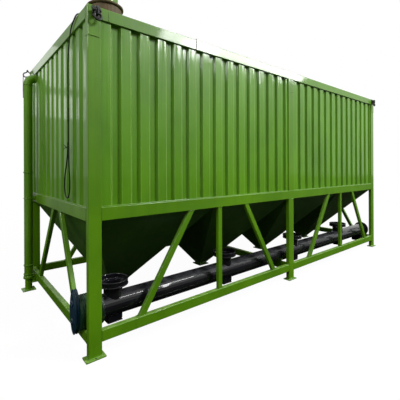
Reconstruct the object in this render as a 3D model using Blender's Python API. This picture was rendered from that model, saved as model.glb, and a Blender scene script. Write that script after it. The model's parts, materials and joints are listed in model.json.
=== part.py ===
"""Horizontal cement silo: a corrugated steel box on a braced frame, with four hoppers.

A screw conveyor is stowed behind the front lower rail. Metres, +Z up. X runs along the
six metre side and Y across it. The parts are placed about the middle of the frame, under an
empty that brings the middle of the whole plant's box, at floor level, to the origin.
"""

import math

import bmesh
import bpy
from mathutils import Vector

# Outer size of the frame, which has the footprint of a twenty foot container.
LENGTH = 6.058
WIDTH = 2.438
HEIGHT = 3.100
HALF_L = LENGTH / 2
HALF_W = WIDTH / 2
GAP = 0.0003

# The box around the whole plant is a little longer on the left, by the fill pipe's foot.
LEFT_REACH = 3.190
RIGHT_REACH = 3.059
CENTRE_SHIFT = (LEFT_REACH - RIGHT_REACH) / 2

# Frame sections.
POST_WIDE = 0.120
POST_DEEP = 0.056
CHAMFER = 0.004
TOP_RAIL_BOTTOM = 2.990
BELT_TOP = 1.325
BELT_BOTTOM = 1.203
LOWER_TOP = 0.230
LOWER_BOTTOM = 0.128
CROSS_WIDE = 0.060
BRACE_WIDE = 0.064
BRACE_LAP = 0.020
BRACE_DEEP = 0.044
BRACE_SET_BACK = 0.006
FOOT_PLATE = (0.180, 0.110, 0.010)
INNER_L = HALF_L - POST_DEEP
INNER_W = HALF_W - POST_DEEP
POST_EDGE = HALF_L - POST_WIDE

# Braces and strut of a bay of the long side, measured along X from where the bay starts.
BAY_STARTS = (("left", -HALF_L), ("right", 0.0))
BRACE_FEET = (0.512, 1.572, 2.628)
BRACE_HEADS = (1.145, 1.572, 2.041)
# Braces of an end frame, measured along Y from the middle.
END_FEET = (-0.845, 0.700)
END_HEADS = (-0.290, -0.030)

# Corrugated sheets.
SHEET = 0.003
WALL_SET_BACK = 0.016
RIB_DEPTH = 0.028
RIB_PITCH = 0.200
RIB_SLOPE = 0.018
LONG_RIBS = 14
LONG_LEADS = (0.098, 0.118)
END_RIBS = 11

# Roof sheet, a little below the top of the rails.
ROOF_Z = 3.070
ROOF_RIB = 0.018
ROOF_RIBS = 11
ROOF_RIB_START = -2.40
ROOF_RIB_PITCH = 0.480
ROOF_RIB_WIDE = 0.120

# Hoppers, one in each quarter of the length.
HOPPER_PLATE = 0.005
HOPPER_SKIRT_TOP = 1.300
HOPPER_NECK_TOP = 0.135
HOPPER_FOOT = 0.100
OUTLET_HALF_X = 0.068
OUTLET_HALF_Y = 0.068
OUTLET_RIM = 0.025
OUTLET_RIM_DEEP = 0.010

# Screw conveyor, a 219 mm tube with four open inlets.
SCREW_Y = -1.000
SCREW_Z = 0.345
TUBE_R = 0.1095
TUBE_WALL = 0.006
TUBE_X = (-2.860, 2.930)
FLANGE_R = 0.145
FLANGE_DEEP = 0.012
INLET_FIRST = -2.713
INLET_PITCH = 1.529
INLET_TOP = 0.585
INLET_R = 0.090
CUP_R = 0.145
CUP_DEEP = 0.050
CUP_FLOOR = 0.008
MOUTH_R = 0.080
HATCH = (0.072, 0.058, 0.188, 0.018)
SPOUT_X = 2.775
SPOUT_HALF = 0.090
SPOUT_Z = 0.130
BODY_LAP = 0.010
PASS = 0.100
SHAFT_R = 0.030
SEAT_R = 0.1147
HOUSING_R = 0.152
GUARD_X = (-3.096, -3.062)
GUARD_Z = 0.370
GUARD_HALF_Y = 0.090
GUARD_HALF_Z = 0.200
GUARD_DOME = 0.008
BEARING_DEEP = 0.070
CAP_R = 0.060
CAP_OUT = 0.022
ROUND = 28

# Fill pipe outside the left end.
PIPE_X = -3.110
PIPE_Y = 0.900
PIPE_R = 0.054
PIPE_FOOT = 0.155
PIPE_TOP = 2.930
ELBOW_R = 0.088
LEG_R = 0.044
CLAMP_LEVELS = ((1.235, 1.290), (0.160, 0.205))
CLAMP_HALF = 0.035
PIPE_PLATE = 0.080
PLATE_DEEP = 0.008
PIPE_LAP = 0.020

# Filter on the roof, near the front left corner.
VENT_X = -2.722
VENT_Y = -0.862
VENT_R = 0.165
VENT_BASE_TOP = 3.300
VENT_DRUM_R = 0.125
VENT_TOP = 3.560
VENT_CAP_R = 0.152
GLAND_Z = 3.200
GLAND_R = 0.015
GLAND_OUT = 0.026

# Lifting lugs near the top of the corner posts.
LUG_X = 2.953
LUG_Z = 3.045
LUG_OUT = 0.062
LUG_HOLE = 0.016
LUG_HOLE_OUT = 0.036
LUG_PAD = (0.036, 0.010, 0.048)
LUG_EYE = (0.008, 0.036)

# Cable of the filter, hanging down the left end with its spare length in a tied loop.
CABLE_R = 0.006
CABLE_STEP = 0.034
CABLE_ROUTE = (
    (-2.9138, -0.862, 3.200),
    (-2.934, -0.862, 3.200),
    (-2.952, -0.867, 3.195),
    (-2.966, -0.880, 3.179),
    (-2.979, -0.900, 3.156),
    (-2.991, -0.924, 3.133),
    (-3.005, -0.946, 3.120),
    (-3.020, -0.957, 3.1125),
    (-3.033, -0.951, 3.1040),
    (-3.0392, -0.928, 3.092),
    (-3.0395, -0.890, 3.078),
    (-3.0395, -0.852, 3.064),
    (-3.0395, -0.816, 3.042),
    (-3.040, -0.788, 3.010),
    (-3.042, -0.766, 2.960),
    (-3.045, -0.748, 2.880),
    (-3.048, -0.738, 2.800),
    (-3.050, -0.732, 2.700),
    (-3.049, -0.728, 2.500),
    (-3.048, -0.726, 2.300),
    (-3.048, -0.725, 2.100),
    (-3.048, -0.726, 1.960),
    (-3.048, -0.727, 1.880),
    (-3.049, -0.733, 1.800),
    (-3.051, -0.752, 1.700),
    (-3.053, -0.776, 1.600),
    (-3.054, -0.786, 1.520),
    (-3.054, -0.777, 1.450),
    (-3.053, -0.744, 1.398),
    (-3.052, -0.697, 1.380),
    (-3.052, -0.650, 1.398),
    (-3.052, -0.617, 1.450),
    (-3.052, -0.609, 1.520),
    (-3.051, -0.622, 1.600),
    (-3.049, -0.658, 1.700),
    (-3.048, -0.694, 1.800),
    (-3.048, -0.710, 1.880),
    (-3.049, -0.709, 1.930),
)


def clear_scene():
    for old in list(bpy.data.objects):
        bpy.data.objects.remove(old, do_unlink=True)


def paint(name, colour, roughness, metallic=0.0):
    """A plain material with one Principled BSDF."""
    material = bpy.data.materials.new(name)
    material.use_nodes = True
    shader = material.node_tree.nodes["Principled BSDF"]
    shader.inputs["Base Color"].default_value = (*colour, 1.0)
    shader.inputs["Roughness"].default_value = roughness
    shader.inputs["Metallic"].default_value = metallic
    return material


def finish(name, bm, material, place=(0.0, 0.0, 0.0), smooth=False):
    """Turn a bmesh into a named object at its place."""
    bmesh.ops.recalc_face_normals(bm, faces=bm.faces)
    mesh = bpy.data.meshes.new(name)
    bm.to_mesh(mesh)
    bm.free()
    mesh.materials.append(material)
    if smooth:
        mesh.shade_smooth()
        mesh.set_sharp_from_angle(angle=math.radians(35))
    obj = bpy.data.objects.new(name, mesh)
    obj.location = place
    bpy.context.scene.collection.objects.link(obj)
    return obj


def gather():
    """Put every part under one empty, which shifts them together along X."""
    parts = list(bpy.context.scene.objects)
    plant = bpy.data.objects.new("plant", None)
    plant.location = (CENTRE_SHIFT, 0.0, 0.0)
    bpy.context.scene.collection.objects.link(plant)
    for part in parts:
        part.parent = plant


def loft(rings, closed=False):
    """Join rings of equally many points with faces; cap the ends unless it closes on itself."""
    bm = bmesh.new()
    loops = [[bm.verts.new(point) for point in ring] for ring in rings]
    pairs = list(zip(loops, loops[1:]))
    if closed:
        pairs.append((loops[-1], loops[0]))
    count = len(loops[0])
    for lower, upper in pairs:
        for i in range(count):
            j = (i + 1) % count
            bm.faces.new((lower[i], lower[j], upper[j], upper[i]))
    if not closed:
        bm.faces.new(list(reversed(loops[0])))
        bm.faces.new(loops[-1])
    return bm


def section(half_a, half_b, chamfer):
    """Rectangle with cut corners, as eight points about its middle."""
    a, b, c = half_a, half_b, chamfer
    return [(a - c, -b), (a, -b + c), (a, b - c), (a - c, b),
            (-a + c, b), (-a, b - c), (-a, -b + c), (-a + c, -b)]


def bar(name, low, high, axis, material):
    """Straight bar between two corners, its long edges cut, running along one axis."""
    middle = [(a + b) / 2 for a, b in zip(low, high)]
    half = [(b - a) / 2 for a, b in zip(low, high)]
    first, second = [k for k in range(3) if k != axis]
    rings = []
    for end in (-half[axis], half[axis]):
        ring = []
        for u, v in section(half[first], half[second], CHAMFER):
            point = [0.0, 0.0, 0.0]
            point[first], point[second], point[axis] = u, v, end
            ring.append(tuple(point))
        rings.append(ring)
    return finish(name, loft(rings), material, middle)


def block(name, low, high, material):
    """Plain box between two corners."""
    middle = [(a + b) / 2 for a, b in zip(low, high)]
    bm = bmesh.new()
    bmesh.ops.create_cube(bm, size=1.0)
    bmesh.ops.scale(bm, vec=[b - a for a, b in zip(low, high)], verts=bm.verts)
    return finish(name, bm, material, middle)


def turned(name, profile, axis, place, material, sides=ROUND):
    """Solid of revolution: radius and height pairs from its foot to its head, about one axis."""
    rings = []
    for radius, height in profile:
        ring = []
        for k in range(sides):
            angle = 2 * math.pi * k / sides
            u, v = radius * math.cos(angle), radius * math.sin(angle)
            point = {"X": (height, u, v), "Y": (v, height, u), "Z": (u, v, height)}[axis]
            ring.append(point)
        rings.append(ring)
    return finish(name, loft(rings), material, place, smooth=True)


def combine(target, tool, operation):
    """Apply one exact Boolean to the target and remove the tool."""
    modifier = target.modifiers.new(operation, "BOOLEAN")
    modifier.operation = operation
    modifier.solver = "EXACT"
    modifier.object = tool
    bpy.context.view_layer.update()
    graph = bpy.context.evaluated_depsgraph_get()
    mesh = bpy.data.meshes.new_from_object(target.evaluated_get(graph))
    target.modifiers.clear()
    target.data = mesh
    bpy.data.objects.remove(tool, do_unlink=True)


def post(name, x, y, top, material):
    """Upright of rectangular tube on its foot plate, in one piece."""
    plate_x, plate_y, plate_z = FOOT_PLATE
    steps = ((plate_x / 2, plate_y / 2, 0.0), (plate_x / 2, plate_y / 2, plate_z),
             (POST_WIDE / 2, POST_DEEP / 2, plate_z), (POST_WIDE / 2, POST_DEEP / 2, top))
    rings = [[(u, v, z) for u, v in section(a, b, CHAMFER)] for a, b, z in steps]
    return finish(name, loft(rings), material, (x, y, 0.0))


def brace(name, foot, head, low_z, high_z, side, along, material):
    """Slanted flat bar whose ends are level; it lies in a frame's plane, along X or Y."""
    lean = math.atan2(abs(head - foot), high_z - low_z)
    half = BRACE_WIDE / 2 / math.cos(lean)
    rings = []
    for middle, z in ((foot, low_z), (head, high_z)):
        ring = []
        for u, v in section(half, BRACE_DEEP / 2, CHAMFER):
            ring.append((middle + u, side + v, z) if along == "X" else (side + v, middle + u, z))
        rings.append(ring)
    return finish(name, loft(rings), material)


def rib_line(start, end, lead, ribs, outer, inner):
    """Folded line of a corrugated sheet: flats at the outer level, ribs pressed in."""
    half = RIB_PITCH / 2
    line = [(start, outer)]
    for k in range(ribs):
        left = start + lead + k * RIB_PITCH
        right = left + half
        line += [(left, outer), (left + RIB_SLOPE, inner),
                 (right - RIB_SLOPE, inner), (right, outer)]
    line.append((end, outer))
    return line


def offset_line(line, thickness):
    """The same folded line moved square to its own runs, mitred at the folds."""
    moved = []
    for i, point in enumerate(line):
        before = Vector(line[max(i - 1, 0)])
        here = Vector(point)
        after = Vector(line[min(i + 1, len(line) - 1)])
        normals = []
        for a, b in ((before, here), (here, after)):
            run = b - a
            if run.length > 0:
                run.normalize()
                normals.append(Vector((-run.y, run.x)))
        mean = sum(normals, Vector((0.0, 0.0))).normalized()
        moved.append(tuple(here + mean * (thickness / mean.dot(normals[0]))))
    return moved


def sheet(name, line, low_z, high_z, to_world, material):
    """Corrugated wall: the folded line and its offset, drawn upwards."""
    outline = line + list(reversed(offset_line(line, SHEET)))
    rings = [[to_world(u, v, z) for u, v in outline] for z in (low_z, high_z)]
    return finish(name, loft(rings), material)


def sweep(name, path, radius, material, sides=20):
    """Round bar along a path in one upright plane of constant Y."""
    rings = []
    for i, point in enumerate(path):
        before = Vector(path[max(i - 1, 0)])
        after = Vector(path[min(i + 1, len(path) - 1)])
        forward = (after - before).normalized()
        across = Vector((0.0, 1.0, 0.0))
        up = across.cross(forward)
        ring = []
        for k in range(sides):
            angle = 2 * math.pi * k / sides
            ring.append(Vector(point) + radius * (math.cos(angle) * across + math.sin(angle) * up))
        rings.append(ring)
    return finish(name, loft(rings), material, smooth=True)


def build_posts(green):
    for x_name, sign_x in (("left", -1), ("right", 1)):
        for y_name, sign_y in (("front", -1), ("back", 1)):
            post(f"{y_name}_{x_name}_post", sign_x * (HALF_L - POST_WIDE / 2),
                 sign_y * (HALF_W - POST_DEEP / 2), HEIGHT, green)
    for y_name, sign_y in (("front", -1), ("back", 1)):
        y = sign_y * (HALF_W - POST_DEEP / 2)
        post(f"{y_name}_mid_post", 0.0, y, BELT_BOTTOM - GAP, green)
        bar(f"{y_name}_mid_stud", (-POST_WIDE / 2, y - POST_DEEP / 2, BELT_TOP + GAP),
            (POST_WIDE / 2, y + POST_DEEP / 2, TOP_RAIL_BOTTOM - GAP), 2, green)


def build_rails(green):
    levels = (("top", TOP_RAIL_BOTTOM, HEIGHT), ("belt", BELT_BOTTOM, BELT_TOP))
    for level, low_z, high_z in levels:
        for y_name, sign_y in (("front", -1), ("back", 1)):
            near, far = sorted((sign_y * HALF_W, sign_y * INNER_W))
            bar(f"{y_name}_{level}_rail", (-POST_EDGE + GAP, near, low_z),
                (POST_EDGE - GAP, far, high_z), 0, green)
        for x_name, sign_x in (("left", -1), ("right", 1)):
            near, far = sorted((sign_x * HALF_L, sign_x * INNER_L))
            bar(f"{x_name}_{level}_rail", (near, -INNER_W + GAP, low_z),
                (far, INNER_W - GAP, high_z), 1, green)
    bar("mid_cross_rail", (-CROSS_WIDE / 2, -INNER_W + GAP, LOWER_BOTTOM),
        (CROSS_WIDE / 2, INNER_W - GAP, LOWER_TOP), 1, green)


def build_long_braces(green):
    """Lower rail of each bay with its two slanted braces and its strut."""
    foot_z = LOWER_TOP - BRACE_LAP
    head_z = BELT_BOTTOM - GAP
    for y_name, sign_y in (("front", -1), ("back", 1)):
        near, far = sorted((sign_y * HALF_W, sign_y * INNER_W))
        side = sign_y * (HALF_W - BRACE_SET_BACK - BRACE_DEEP / 2)
        for x_name, start in BAY_STARTS:
            sign_x = -1 if start < 0 else 1
            ends = sorted((sign_x * (POST_EDGE - GAP), sign_x * (POST_WIDE / 2 + GAP)))
            rail = bar(f"{y_name}_{x_name}_bracing", (ends[0], near, LOWER_BOTTOM),
                       (ends[1], far, LOWER_TOP), 0, green)
            for foot, head in zip(BRACE_FEET, BRACE_HEADS):
                piece = brace("brace", start + foot, start + head, foot_z, head_z, side, "X", green)
                combine(rail, piece, "UNION")


def build_end_braces(green):
    """Lower rail of each end frame with its two braces, which meet under the belt."""
    foot_z = LOWER_TOP - BRACE_LAP
    head_z = BELT_BOTTOM - GAP
    for x_name, sign_x in (("left", -1), ("right", 1)):
        near, far = sorted((sign_x * HALF_L, sign_x * INNER_L))
        side = sign_x * (HALF_L - BRACE_SET_BACK - BRACE_DEEP / 2)
        rail = bar(f"{x_name}_bracing", (near, -INNER_W + GAP, LOWER_BOTTOM),
                   (far, INNER_W - GAP, LOWER_TOP), 1, green)
        for foot, head in zip(END_FEET, END_HEADS):
            combine(rail, brace("brace", foot, head, foot_z, head_z, side, "Y", green), "UNION")


def build_walls(green):
    """Corrugated sheets between the posts, mirrored from front to back."""
    low_z, high_z = BELT_TOP + GAP, TOP_RAIL_BOTTOM - GAP
    outer, inner = WALL_SET_BACK, WALL_SET_BACK + RIB_DEPTH
    bays = (("left", -POST_EDGE + GAP, -POST_WIDE / 2 - GAP, LONG_LEADS[0]),
            ("right", POST_WIDE / 2 + GAP, POST_EDGE - GAP, LONG_LEADS[1]))
    for x_name, start, end, lead in bays:
        line = rib_line(start, end, lead, LONG_RIBS, outer, inner)
        sheet(f"front_{x_name}_wall", line, low_z, high_z, lambda u, v, z: (u, v - HALF_W, z), green)
        sheet(f"back_{x_name}_wall", line, low_z, high_z, lambda u, v, z: (u, HALF_W - v, z), green)
    span = INNER_W - GAP
    lead = span - RIB_PITCH * (2 * END_RIBS - 1) / 4
    line = rib_line(-span, span, lead, END_RIBS, outer, inner)
    sheet("left_wall", line, low_z, high_z, lambda u, v, z: (v - HALF_L, u, z), green)
    sheet("right_wall", line, low_z, high_z, lambda u, v, z: (HALF_L - v, u, z), green)


def build_roof(green):
    """Roof sheet with raised ribs across it, held between the top rails."""
    line = [(-INNER_L + GAP, 0.0)]
    for k in range(ROOF_RIBS):
        left = ROOF_RIB_START + k * ROOF_RIB_PITCH
        right = left + ROOF_RIB_WIDE
        line += [(left, 0.0), (left + ROOF_RIB, ROOF_RIB), (right - ROOF_RIB, ROOF_RIB), (right, 0.0)]
    line.append((INNER_L - GAP, 0.0))
    outline = line + list(reversed(offset_line(line, SHEET)))
    rings = [[(x, y, ROOF_Z + z) for x, z in outline] for y in (-INNER_W + GAP, INNER_W - GAP)]
    finish("roof_sheet", loft(rings), green)


def rectangle(x0, x1, y0, y1, z):
    return [(x0, y0, z), (x1, y0, z), (x1, y1, z), (x0, y1, z)]


def tapered_shell(name, middle, steps, material):
    """Closed shell from rectangles (shift, half_x, half_y, z): down its outside, up its inside."""
    rings = [rectangle(x - a, x + a, -b, b, z) for x, a, b, z in steps]
    return finish(name, loft(rings, closed=True), material, (middle, 0.0, 0.0))


def hopper(number, x0, x1, outlet_x, material):
    """Open funnel of plate with its skirt, and under it the outlet's neck with a rim."""
    middle = (x0 + x1) / 2
    half_x = (x1 - x0) / 2 - GAP
    half_y = INNER_W - GAP
    shift = outlet_x - middle
    plate = HOPPER_PLATE
    rise = plate * 1.4
    neck_x, neck_y = OUTLET_HALF_X, OUTLET_HALF_Y
    neck_z = HOPPER_NECK_TOP + GAP
    funnel = ((0, half_x, half_y, HOPPER_SKIRT_TOP), (0, half_x, half_y, BELT_BOTTOM),
              (shift, neck_x, neck_y, neck_z), (shift, neck_x - plate, neck_y - plate, neck_z),
              (0, half_x - plate, half_y - plate, BELT_BOTTOM + rise),
              (0, half_x - plate, half_y - plate, HOPPER_SKIRT_TOP))
    tapered_shell(f"hopper_{number}", middle, funnel, material)
    rim_x, rim_y = neck_x + OUTLET_RIM, neck_y + OUTLET_RIM
    rim_z = HOPPER_FOOT + OUTLET_RIM_DEEP
    collar = ((0, neck_x, neck_y, HOPPER_NECK_TOP), (0, neck_x, neck_y, rim_z), (0, rim_x, rim_y, rim_z),
              (0, rim_x, rim_y, HOPPER_FOOT), (0, neck_x - plate, neck_y - plate, HOPPER_FOOT),
              (0, neck_x - plate, neck_y - plate, HOPPER_NECK_TOP))
    tapered_shell(f"outlet_{number}", outlet_x, collar, material)


def build_hoppers(material):
    edges = (-INNER_L, -HALF_L / 2, 0.0, HALF_L / 2, INNER_L)
    for k, (x0, x1) in enumerate(zip(edges, edges[1:])):
        hopper(k + 1, x0, x1, -HALF_L + LENGTH / 8 * (2 * k + 1), material)


def hatch(x, black):
    """Clean-out box under an inlet, its lower edges cut off."""
    half_x, half_y, low_z, cut = HATCH
    half_z = (SCREW_Z - BODY_LAP - low_z) / 2
    rings = [[(x + u, y, low_z + half_z + v) for u, v in section(half_x, half_z, cut)]
             for y in (SCREW_Y - half_y, SCREW_Y + half_y)]
    return finish("hatch", loft(rings), black)


def build_conveyor(black):
    """Tube with end flanges, cup-shaped inlets, clean-out boxes and a discharge spout."""
    start, end = TUBE_X
    axis = (0.0, SCREW_Y, SCREW_Z)
    tube = turned("conveyor_tube", ((FLANGE_R, start), (FLANGE_R, start + FLANGE_DEEP),
                                    (TUBE_R, start + FLANGE_DEEP), (TUBE_R, end - FLANGE_DEEP),
                                    (FLANGE_R, end - FLANGE_DEEP), (FLANGE_R, end)), "X", axis, black)
    rise = INLET_TOP - SCREW_Z
    inlets = [INLET_FIRST + k * INLET_PITCH for k in range(4)]
    for x in inlets:
        inlet = turned("inlet", ((INLET_R, BODY_LAP), (INLET_R, rise - CUP_DEEP),
                                 (CUP_R, rise - CUP_DEEP), (CUP_R, rise)),
                       "Z", (x, SCREW_Y, SCREW_Z), black)
        combine(tube, inlet, "UNION")
        combine(tube, hatch(x, black), "UNION")
    spout = block("spout", (SPOUT_X - SPOUT_HALF, SCREW_Y - SPOUT_HALF, SPOUT_Z),
                  (SPOUT_X + SPOUT_HALF, SCREW_Y + SPOUT_HALF, SCREW_Z - BODY_LAP), black)
    combine(tube, spout, "UNION")
    bore = TUBE_R - TUBE_WALL
    hollow = turned("bore", ((bore, start - PASS), (bore, end + PASS)), "X", axis, black)
    combine(tube, hollow, "DIFFERENCE")
    for x in inlets:
        seat = rise - CUP_DEEP + CUP_FLOOR
        mouth = turned("mouth", ((MOUTH_R, 0.0), (MOUTH_R, seat), (CUP_R - TUBE_WALL, seat),
                                 (CUP_R - TUBE_WALL, rise + PASS)),
                       "Z", (x, SCREW_Y, SCREW_Z), black)
        combine(tube, mouth, "DIFFERENCE")
    throat = SPOUT_HALF - TUBE_WALL
    outlet = block("throat", (SPOUT_X - throat, SCREW_Y - throat, SPOUT_Z - PASS),
                   (SPOUT_X + throat, SCREW_Y + throat, SCREW_Z), black)
    combine(tube, outlet, "DIFFERENCE")


def build_drive(green, blue, black):
    """Gear housing that rests on the end rail, its belt guard, the far bearing and the shaft."""
    axis = (0.0, SCREW_Y, SCREW_Z)
    start, end = TUBE_X
    flat = LOWER_TOP + GAP - SCREW_Z
    rings = []
    for x in (GUARD_X[1] + GAP, start - GAP):
        ring = []
        for k in range(ROUND):
            angle = 2 * math.pi * (k + 0.5) / ROUND
            ring.append((x, HOUSING_R * math.cos(angle), max(HOUSING_R * math.sin(angle), flat)))
        rings.append(ring)
    finish("drive_housing", loft(rings), green, axis, smooth=True)
    outer, inner = GUARD_X
    steps = ((0.30, outer - GUARD_DOME), (0.80, outer - GUARD_DOME * 0.6), (1.00, outer + GUARD_DOME),
             (1.00, inner))
    rings = []
    for share, x in steps:
        half_y, half_z = share * GUARD_HALF_Y, share * GUARD_HALF_Z
        angles = [2 * math.pi * k / ROUND for k in range(ROUND)]
        rings.append([(x, half_y * math.cos(a), half_z * math.sin(a)) for a in angles])
    finish("drive_guard", loft(rings), blue, (0.0, SCREW_Y, GUARD_Z), smooth=True)
    turned("end_bearing", ((SEAT_R, end + GAP), (SEAT_R, end + BEARING_DEEP), (CAP_R, end + BEARING_DEEP),
                           (CAP_R, end + BEARING_DEEP + CAP_OUT)), "X", axis, black)
    turned("screw_shaft", ((SHAFT_R, start), (SHAFT_R, end)), "X", axis, black, sides=16)


def build_fill_pipe(green):
    """Upright pipe whose elbow turns into the end wall; it stands on a leg with a foot plate."""
    wall_x = -HALF_L + WALL_SET_BACK - GAP
    bend_z = PIPE_TOP - ELBOW_R
    path = [(PIPE_X, PIPE_Y, PIPE_FOOT)]
    for k in range(9):
        angle = math.pi / 2 * k / 8
        path.append((PIPE_X + ELBOW_R * (1 - math.cos(angle)), PIPE_Y, bend_z + ELBOW_R * math.sin(angle)))
    path.append((wall_x, PIPE_Y, PIPE_TOP))
    pipe = sweep("fill_pipe", path, PIPE_R, green)
    leg = turned("leg", ((LEG_R, PLATE_DEEP / 2), (LEG_R, PIPE_FOOT + PIPE_LAP)), "Z",
                 (PIPE_X, PIPE_Y, 0.0), green, 20)
    combine(pipe, leg, "UNION")
    plate = block("plate", (PIPE_X - PIPE_PLATE, PIPE_Y - PIPE_PLATE, 0.0),
                  (PIPE_X + PIPE_PLATE, PIPE_Y + PIPE_PLATE, PLATE_DEEP), green)
    combine(pipe, plate, "UNION")
    for low_z, high_z in CLAMP_LEVELS:
        clamp = block("clamp", (PIPE_X, PIPE_Y - CLAMP_HALF, low_z),
                      (-HALF_L - GAP, PIPE_Y + CLAMP_HALF, high_z), green)
        combine(pipe, clamp, "UNION")


def build_vent(green, brown):
    """Round filter on the roof: a brown base band with the cable gland, a drum and a cap."""
    place = (VENT_X, VENT_Y, 0.0)
    foot = ROOF_Z + SHEET + GAP
    profile = ((VENT_R - 0.012, foot), (VENT_R - 0.002, foot + 0.030), (VENT_R, foot + 0.090),
               (VENT_R - 0.003, VENT_BASE_TOP - 0.030), (VENT_R - 0.022, VENT_BASE_TOP))
    base = turned("vent_base", profile, "Z", place, brown)
    gland = turned("gland", ((GLAND_R, -GLAND_OUT - VENT_R), (GLAND_R, -VENT_R + 0.040)),
                   "X", (VENT_X, VENT_Y, GLAND_Z), brown, 16)
    combine(base, gland, "UNION")
    turned("vent_filter", ((VENT_DRUM_R, VENT_BASE_TOP + GAP), (VENT_DRUM_R, VENT_TOP),
                           (VENT_CAP_R, VENT_TOP), (VENT_CAP_R, VENT_TOP + 0.030),
                           (0.100, VENT_TOP + 0.055), (0.030, VENT_TOP + 0.062)), "Z", place, green)


def build_lugs(green):
    """Eye plate on a pad, on the long face of each corner post."""
    for x_name, sign_x in (("left", -1), ("right", 1)):
        for y_name, sign_y in (("front", -1), ("back", 1)):
            x = sign_x * LUG_X
            face = HALF_W + GAP
            pad_x, pad_y, pad_z = LUG_PAD
            near, far = sorted((sign_y * face, sign_y * (face + pad_y)))
            lug = block(f"{y_name}_{x_name}_lug", (x - pad_x, near, LUG_Z - pad_z),
                        (x + pad_x, far, LUG_Z + pad_z), green)
            eye_x, eye_z = LUG_EYE
            near, far = sorted((sign_y * (face + pad_y / 2), sign_y * (face + LUG_OUT)))
            eye = block("eye", (x - eye_x, near, LUG_Z - eye_z), (x + eye_x, far, LUG_Z + eye_z), green)
            combine(lug, eye, "UNION")
            hole = turned("hole", ((LUG_HOLE, -LUG_HOLE), (LUG_HOLE, LUG_HOLE)), "X",
                          (x, sign_y * (face + LUG_HOLE_OUT), LUG_Z), green, 16)
            combine(lug, hole, "DIFFERENCE")


def smooth_route(points, step):
    """Points at equal steps along a smooth curve through the route's own points."""
    fine = []
    count = len(points)
    for i in range(count - 1):
        p0, p1 = Vector(points[max(i - 1, 0)]), Vector(points[i])
        p2, p3 = Vector(points[i + 1]), Vector(points[min(i + 2, count - 1)])
        for k in range(12):
            t = k / 12
            fine.append(0.5 * (2 * p1 + (p2 - p0) * t + (2 * p0 - 5 * p1 + 4 * p2 - p3) * t ** 2
                               + (3 * p1 - p0 - 3 * p2 + p3) * t ** 3))
    fine.append(Vector(points[-1]))
    travel = [0.0]
    for a, b in zip(fine, fine[1:]):
        travel.append(travel[-1] + (b - a).length)
    number = max(2, round(travel[-1] / step) + 1)
    result = []
    j = 0
    for k in range(number):
        want = travel[-1] * k / (number - 1)
        while j < len(fine) - 2 and travel[j + 1] < want:
            j += 1
        share = (want - travel[j]) / (travel[j + 1] - travel[j])
        result.append(fine[j].lerp(fine[j + 1], share))
    return result


def build_cable(rubber):
    """Cable of the filter, a round tube with filled ends."""
    curve = bpy.data.curves.new("vent_cable", "CURVE")
    curve.dimensions = "3D"
    curve.bevel_depth = CABLE_R
    curve.bevel_resolution = 2
    curve.use_fill_caps = True
    points = smooth_route(CABLE_ROUTE, CABLE_STEP)
    spline = curve.splines.new("POLY")
    spline.points.add(len(points) - 1)
    for slot, point in zip(spline.points, points):
        slot.co = (*point, 1.0)
    curve.materials.append(rubber)
    cable = bpy.data.objects.new("vent_cable", curve)
    bpy.context.scene.collection.objects.link(cable)


def build():
    clear_scene()
    green = paint("green_paint", (0.13, 0.30, 0.03), 0.45)
    wall = paint("wall_sheet", (0.14, 0.32, 0.05), 0.45)
    plate = paint("hopper_plate", (0.035, 0.060, 0.015), 0.50)
    black = paint("black_paint", (0.012, 0.012, 0.016), 0.35)
    dark_green = paint("dark_green_paint", (0.012, 0.045, 0.025), 0.40)
    blue = paint("blue_paint", (0.008, 0.020, 0.035), 0.35)
    brown = paint("brown_paint", (0.075, 0.045, 0.025), 0.60)
    rubber = paint("cable_rubber", (0.010, 0.010, 0.010), 0.60)
    build_posts(green)
    build_rails(green)
    build_long_braces(green)
    build_end_braces(green)
    build_walls(wall)
    build_roof(wall)
    build_hoppers(plate)
    build_conveyor(black)
    build_drive(dark_green, blue, black)
    build_fill_pipe(green)
    build_vent(green, brown)
    build_lugs(green)
    build_cable(rubber)
    gather()


build()
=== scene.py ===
import bpy
import json
import math
import numpy as np
from mathutils import Matrix


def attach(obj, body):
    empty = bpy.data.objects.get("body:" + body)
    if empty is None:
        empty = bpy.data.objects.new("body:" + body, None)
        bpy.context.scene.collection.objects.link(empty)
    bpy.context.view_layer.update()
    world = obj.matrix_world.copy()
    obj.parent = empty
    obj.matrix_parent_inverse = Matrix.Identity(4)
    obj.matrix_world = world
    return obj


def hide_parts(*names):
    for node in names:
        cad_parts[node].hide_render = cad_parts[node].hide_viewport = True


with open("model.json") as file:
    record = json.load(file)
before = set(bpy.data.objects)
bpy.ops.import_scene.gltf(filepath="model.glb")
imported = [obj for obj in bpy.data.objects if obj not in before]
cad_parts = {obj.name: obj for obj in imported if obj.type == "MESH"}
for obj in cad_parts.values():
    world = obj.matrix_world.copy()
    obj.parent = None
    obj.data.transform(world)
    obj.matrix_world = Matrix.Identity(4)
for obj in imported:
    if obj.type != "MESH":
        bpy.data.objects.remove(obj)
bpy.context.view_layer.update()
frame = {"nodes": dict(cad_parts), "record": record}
print("frame loaded", len(frame["nodes"]), "nodes")

shiftX = 0.0655  # the frame's own middle stands this far along X
halfLong, halfWide = 3.029, 1.219
tallTop, railFoot, beltTop, beltFoot, lowTop, lowFoot = 3.100, 2.990, 1.325, 1.203, 0.230, 0.128
bayOuter, bayInner, bayWide = 2.9087, 0.0603, 1.1627  # where the wall sheets end, between the posts
railHeights = ((railFoot, tallTop), (beltFoot, beltTop), (lowFoot, lowTop))
postX = (-2.969, 0.0, 2.969)


# camera, at the height of a standing person's eye
cameraSet = {"place": (-3.9531 + shiftX, -3.8498, 1.6713), "turn": -39.3895, "roll": 0.2464,
             "focal": 27.304, "shiftX": 0.0034, "shiftY": -0.0802}


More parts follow.
